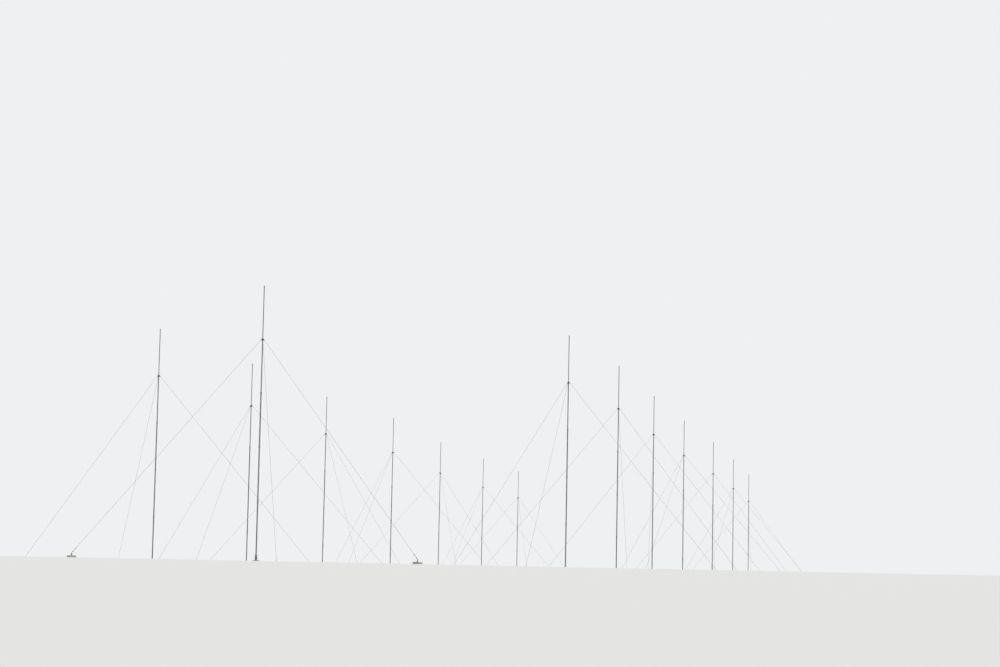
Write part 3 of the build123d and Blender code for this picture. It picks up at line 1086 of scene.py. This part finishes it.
# Turnbuckles, made along X from the anchor's pin
screw = {
    "start": 7, "length": 28, "half": 2.4, "thick": 0.85, "bar": 1.0, "edge": 0.42,
    "boss": 4, "bossRadius": 1.4, "bossEdge": 0.3,
    "rod": 0.6, "rodEnd": 4, "rodEdge": 0.1, "pitch": 0.5, "groove": 0.09, "studShow": 3,
    "nut": 1.15, "nutRise": 1.0, "nutEdge": 0.15, "nutGap": 0.15,
}


def makeThread(start, end, hidden):
    # a threaded rod, with a groove at every pitch but where the boss hides it
    radius, pitch, edge = screw["rod"], screw["pitch"], screw["rodEdge"]
    groove = [(0, radius), (pitch * 0.35, radius - screw["groove"]), (pitch * 0.7, radius)]
    steps = [(start, radius - edge), (start + edge, radius)]
    x = start + pitch
    while x < end - pitch:
        if not hidden[0] < x < hidden[1]:
            steps += lifted(groove, x)
        x += pitch
    steps += [(end - edge, radius), (end, radius - edge)]
    return turnPiece("thread", steps, 10, "X")


def makeLockNut(start):
    nut, edge, end = screw["nut"], screw["nutEdge"], start + screw["nutRise"]
    return turnPiece("lockNut", [
        (start, nut - edge), (start + edge, nut), (end - edge, nut), (end, nut - edge),
    ], 6, "X")


def makeTurnbuckleBody():
    # an open frame between two round bosses
    start, end = screw["start"], screw["start"] + screw["length"]
    half, thick, boss = screw["half"], screw["thick"], screw["boss"]
    wide, edge = screw["bossRadius"], screw["bossEdge"]
    inner = half - screw["bar"]
    body = boxPiece("turnbuckle", (start, -thick, -half), (end, thick, half))
    window = boxPiece("window", (start + boss, -3, -inner), (end - boss, 3, inner))
    body = combine(body, window)
    soften(body, screw["edge"], 3, 50)
    ends = []
    for near, far in ((start - 0.1, start + boss), (end - boss, end + 0.1)):
        ends.append(turnPiece("boss", [
            (near, wide - edge), (near + edge, wide), (far - edge, wide), (far, wide - edge),
        ], 24, "X"))
    return smooth(joinPieces("turnbuckle", [body, *ends]), 35)


def makeJaw():
    start, boss = screw["start"], screw["boss"]
    end, hidden = start + boss + screw["rodEnd"], (start, start + boss - 0.5)
    nut = makeLockNut(start - screw["nutGap"] - screw["nutRise"])
    thread = makeThread(fork["length"] - 0.2, end, hidden)
    return smooth(joinPieces("jaw", [makeFork(), thread, nut]))


def makeStud():
    end, boss = screw["start"] + screw["length"], screw["boss"]
    start = end + screw["studShow"]
    thread = makeThread(end - boss - screw["rodEnd"], start + 0.2, (end - boss, end - 0.5))
    nut = makeLockNut(end + screw["nutGap"])
    return smooth(joinPieces("stud", [thread, nut, makeSocket(start)]))


setOut(
    "StayForks", makeStayFork(), galvanised, inner=topPins,
    lead=["stay_forks"], rows=["stay_fittings"],
)
setOut(
    "Stays", makeStayRope(), ropeJacket, inner=topPins,
    lead=["stays"], rows=["stays"],
)
setOut(
    "Pins", makePin(), boltSteel, inner=topPins + lowPins,
    lead=["fork_pins"],
)
setOut(
    "TurnbuckleBodies", makeTurnbuckleBody(), galvanised, inner=lowPins,
    lead=["turnbuckle_bodies"],
)
setOut(
    "TurnbuckleJaws", makeJaw(), galvanised, inner=lowPins,
    lead=["turnbuckle_jaws"],
)
setOut(
    "TurnbuckleStuds", makeStud(), galvanised, inner=lowPins,
    lead=["turnbuckle_studs"],
)

# Anchor lugs, each a drilled fin welded to a foot plate on the anchor block
anchorLug = {
    "finHalf": 4.5, "plateLong": 6, "plateWide": 4, "plateRise": 1, "corner": 1.0, "weld": 0.55,
    "bolt": (0.75, 0.9), "boltAlong": 4.5, "boltAcross": 2.7,
}


def makeAnchorLug():
    top, half, low = stayLine["anchorPin"], collar["lugHalf"], blocks["anchor"]["height"]
    plateTop = low + anchorLug["plateRise"]
    reach, weld = anchorLug["finHalf"], anchorLug["weld"]
    fin = boxPiece("fin", (-reach, -half, low + 0.5), (reach, half, top))
    resizeWhere(fin, lambda co: co.z > top - tiny, (eye["radius"] / reach, 1, 1), (0, 0, top))
    fin = finishEye(fin, half, (0, 0, top))
    long, wide = anchorLug["plateLong"], anchorLug["plateWide"]
    plate = boxPiece("footPlate", (-long, -wide, low - 0.1), (long, wide, plateTop))
    roundUprights(plate, anchorLug["corner"], 3)
    soften(plate, 0.15, 2, 60)
    wide = half + weld
    bead = boxPiece("weld", (-reach, -wide, plateTop - 0.1), (reach, wide, plateTop + weld))
    slope = (0.97, (half + 0.15) / wide, 1)
    resizeWhere(bead, lambda co: co.z > plateTop, slope, (0, 0, plateTop))
    soften(bead, 0.12, 2, 30)
    return smooth(joinPieces("anchorLug", [fin, plate, bead]))


setOut(
    "AnchorLugs", makeAnchorLug(), galvanised, inner=anchorSpots,
    lead=["anchor_lugs"], rows=["anchor_lugs"],
)
plateBolts = [
    Matrix.Translation((
        x * anchorLug["boltAlong"], y * anchorLug["boltAcross"],
        blocks["anchor"]["height"] + anchorLug["plateRise"],
    ))
    for x in (-1, 1) for y in (-1, 1)
]
setOut(
    "AnchorBolts", makeHexBolt("anchorBolt", *anchorLug["bolt"]), boltSteel,
    inner=[spot @ bolt for spot in anchorSpots for bolt in plateBolts],
)


# Camera, which looks up from lower ground, in metres and degrees
cameraView = {
    "place": (-14.121, -3.959, -0.412), "turn": 10.416, "tilt": 6.82, "roll": 1.14,
    "lens": 93.6, "sensor": 36, "farthest": 1500,
}


def makeCamera():
    turn, tilt, roll = (math.radians(cameraView[key]) for key in ("turn", "tilt", "roll"))
    level = math.cos(tilt)  # the level part of the line of sight
    ahead = Vector((math.cos(turn) * level, math.sin(turn) * level, math.sin(tilt)))
    right = Vector((math.sin(turn), -math.cos(turn), 0))
    up = right.cross(ahead)
    across = right * math.cos(roll) + up * math.sin(roll)
    upwards = up * math.cos(roll) - right * math.sin(roll)
    camera = bpy.data.objects.new("camera", bpy.data.cameras.new("camera"))
    bpy.context.scene.collection.objects.link(camera)
    camera.data.lens = cameraView["lens"]
    camera.data.sensor_width = cameraView["sensor"]
    camera.data.clip_end = cameraView["farthest"]
    facing = Matrix((across, upwards, -ahead)).transposed().to_4x4()
    camera.matrix_world = Matrix.Translation(cameraView["place"]) @ facing
    bpy.context.scene.camera = camera


# Floor, level under the masts and falling away in front of them to below the camera, in metres
stage = {
    "reach": 400, "crest": -0.8, "slope": 4.2, "drop": 0.62, "steps": 20,
    "colour": (0.8, 0.8, 0.79),
}


def makeFloor():
    reach, crest, steps = stage["reach"], stage["crest"], stage["steps"]
    deselect()
    bpy.ops.mesh.primitive_plane_add(size=1, location=((reach + crest) / 2, 0, 0))
    floor = bpy.context.object
    floor.name = "floor"
    floor.scale = (reach - crest, 2 * reach, 1)
    applyPlace(floor)
    pickEdges(floor, lambda a, b: max(a.x, b.x) < crest + 0.01)
    fallen = 0
    for step in range(1, steps + 1):
        share = step / steps
        depth = stage["drop"] * share * share * (3 - 2 * share)  # gentle at both ends
        move = (-stage["slope"] / steps, 0, fallen - depth)
        bpy.ops.mesh.extrude_edges_move(TRANSFORM_OT_translate={"value": move})
        fallen = depth
    bpy.ops.mesh.extrude_edges_move(TRANSFORM_OT_translate={"value": (-reach, 0, 0)})
    bpy.ops.mesh.select_all(action="SELECT")
    bpy.ops.mesh.normals_make_consistent(inside=False)
    endEdit()
    floor.rotation_euler = (0, 0, math.radians(cameraView["turn"]))
    applyPlace(floor)
    smooth(floor, 60)
    material = startMaterial("paleFloor", {
        "Base Color": (*stage["colour"], 1), "Roughness": 0.9, "Specular IOR Level": 0.1,
    })[0]
    floor.data.materials.append(material)


# Light from a soft sun across the view, and a pale room that also shows in the metal
light = {
    "sun": 1.5, "softness": 3, "lean": 40, "turn": 4.2, "room": (0.86, 0.87, 0.88), "fill": 0.6,
}


def makeLight():
    lamp = bpy.data.lights.new("softKey", "SUN")
    lamp.energy = light["sun"]
    lamp.angle = math.radians(light["softness"])
    key = bpy.data.objects.new("softKey", lamp)
    key.rotation_euler = (math.radians(light["lean"]), 0, math.radians(light["turn"]))
    bpy.context.scene.collection.objects.link(key)
    world = bpy.data.worlds.new("paleRoom")
    bpy.context.scene.world = world
    world.use_nodes = True
    tree = world.node_tree
    tree.nodes.clear()
    seen = addNode(tree, "ShaderNodeBackground", {"Color": (*light["room"], 1), "Strength": 1.0})
    fill = addNode(tree, "ShaderNodeBackground", {"Color": (1, 1, 1, 1), "Strength": light["fill"]})
    ray = addNode(tree, "ShaderNodeLightPath").outputs
    direct = calculate(tree, "MAXIMUM", ray["Is Camera Ray"], ray["Is Glossy Ray"])
    direct = calculate(tree, "MAXIMUM", direct, ray["Is Transmission Ray"])
    mix = addNode(tree, "ShaderNodeMixShader")
    out = addNode(tree, "ShaderNodeOutputWorld")
    tree.links.new(direct, mix.inputs["Fac"])
    wire(tree, (fill, "Background", mix, 1), (seen, "Background", mix, 2))
    wire(tree, (mix, "Shader", out, "Surface"))


makeCamera()
makeFloor()
makeLight()
bpy.context.scene.view_settings.view_transform = "Standard"
print("camera, floor and light made")
